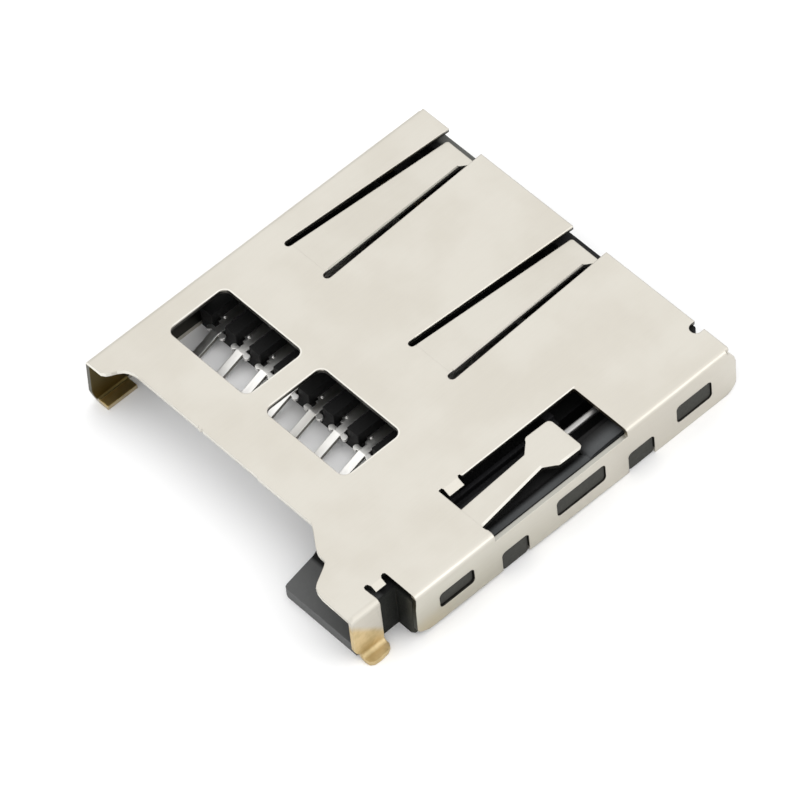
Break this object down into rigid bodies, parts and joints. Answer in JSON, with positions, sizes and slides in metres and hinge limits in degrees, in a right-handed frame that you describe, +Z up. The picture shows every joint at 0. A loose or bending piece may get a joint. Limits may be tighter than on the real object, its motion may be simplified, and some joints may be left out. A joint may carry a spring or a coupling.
{
  "type": "memory card connector",
  "caption": "Low push-push connector for a small removable memory card: stamped metal shell over a moulded housing with sprung contacts and a sliding ejector.",
  "frame": {"origin": "centre of the outline on the board plane, at the foot of the shell and housing", "axes": "+Z up from the board, +Y the way the card goes in, +X the side with the eject mechanism"},
  "size_m": [0.0136, 0.0149, 0.002],
  "materials": {
    "shell_metal": "pale nickel-plated sheet, fine rolling grain",
    "housing_plastic": "fine-grained black moulding",
    "slider_plastic": "smooth black moulding",
    "wire": "bright drawn wire",
    "contact_alloy": "plated copper-alloy strip"
  },
  "bodies": {
    "base": {"shell": "shell_metal", "housing": "housing_plastic", "contact_1": "contact_alloy", "contact_2": "contact_alloy", "contact_3": "contact_alloy", "contact_4": "contact_alloy", "contact_5": "contact_alloy", "contact_6": "contact_alloy", "contact_7": "contact_alloy", "contact_8": "contact_alloy", "detect_blade": "contact_alloy", "detect_terminal": "contact_alloy", "eject_spring": "wire"},
    "slider": {"slider": "slider_plastic"},
    "follower": {"cam_pin": "wire"}
  },
  "joints": [
    {"name": "slider_slide", "type": "slide", "parent": "base", "child": "slider", "axis": [0, 1, 0], "range_m": [0, 0.0045], "stiffness_N_per_m": 120, "springref_m": -0.002, "deforming": ["eject_spring"]},
    {"name": "follower_swing", "type": "hinge", "parent": "base", "child": "follower", "pos_m": [0.00532, 0.0064, 0.00161], "axis": [0, 0, 1], "range_deg": [-6, 0]}
  ]
}
